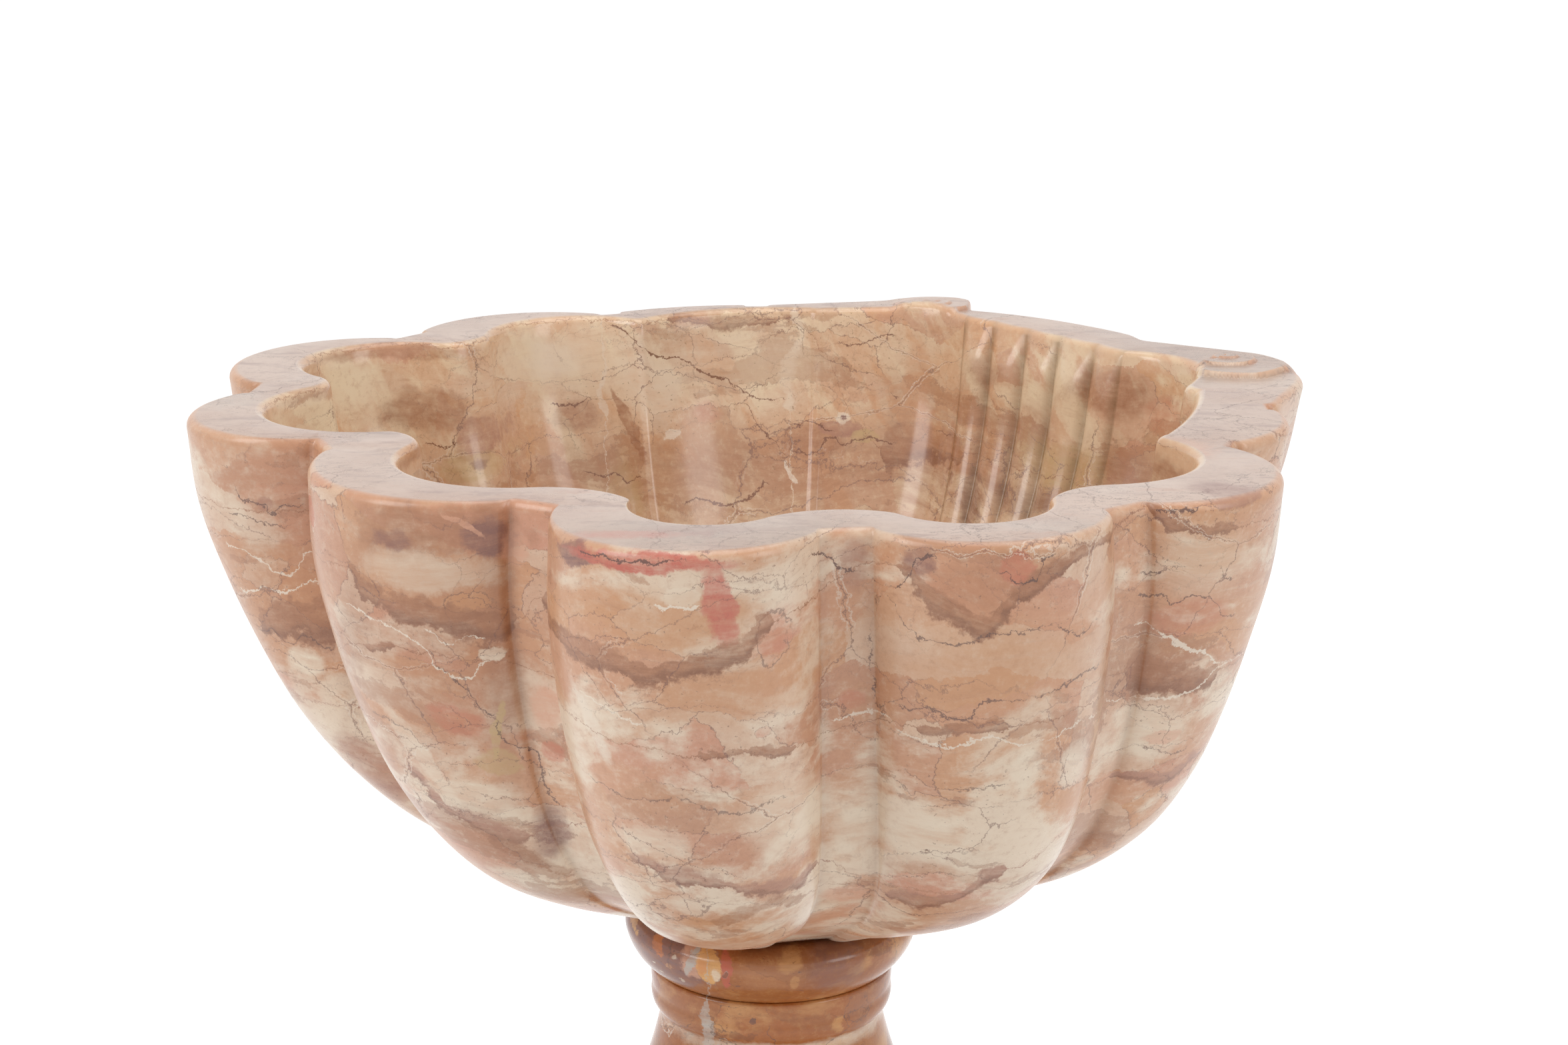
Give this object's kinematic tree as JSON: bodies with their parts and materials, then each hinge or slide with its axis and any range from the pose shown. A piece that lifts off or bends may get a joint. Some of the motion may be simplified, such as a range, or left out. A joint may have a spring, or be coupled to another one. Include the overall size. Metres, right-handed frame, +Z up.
{
  "type": "pedestal basin",
  "caption": "Scallop-shell basin carved from marble, with scrolled hinge and reeded back wall, on a turned baluster and square plinth; lift-out plug with folding ring.",
  "frame": {"origin": "on the floor on the pedestal's axis, at the centre of the waste pipe's lower end", "axes": "+Z up along the pedestal, +Y towards the shell's hinge with its volutes (the back), -Y towards the middle lobe (the front), +X towards the viewer's right when facing the front"},
  "size_m": [0.687, 0.6347, 0.8849],
  "materials": {
    "bowl_marble": "polished",
    "pedestal_marble": "polished",
    "bedding": "matte",
    "brass": "satin",
    "pipe_brass": "satin",
    "rubber": "matte"
  },
  "bodies": {
    "root": {"bowl": "bowl_marble", "collar": "pedestal_marble", "baluster_shaft": "pedestal_marble", "turned_base": "pedestal_marble", "plinth": "pedestal_marble", "bowl_bed": "bedding", "collar_bed": "bedding", "shaft_bed": "bedding", "base_bed": "bedding", "bowl_dowels": "brass", "collar_dowels": "brass", "shaft_dowels": "brass", "base_dowels": "brass", "waste_flange": "brass", "flange_seal": "rubber", "under_washer": "rubber", "slip_washer": "brass", "backnut": "brass", "union_nut": "brass", "cone_washer": "rubber", "waste_pipe": "pipe_brass", "pipe_guides": "rubber"},
    "plug": {"plug_body": "brass", "plug_seal": "rubber", "plug_nut": "brass"},
    "ring": {"pull_ring": "brass"}
  },
  "joints": [
    {"name": "plug_lift", "type": "slide", "parent": "root", "child": "plug", "axis": [0, 0, 1], "range_m": [0, 0.3]},
    {"name": "ring_fold", "type": "hinge", "parent": "plug", "child": "ring", "pos_m": [0, 0, 0.6252], "axis": [1, 0, 0], "range_deg": [0, 90]}
  ]
}
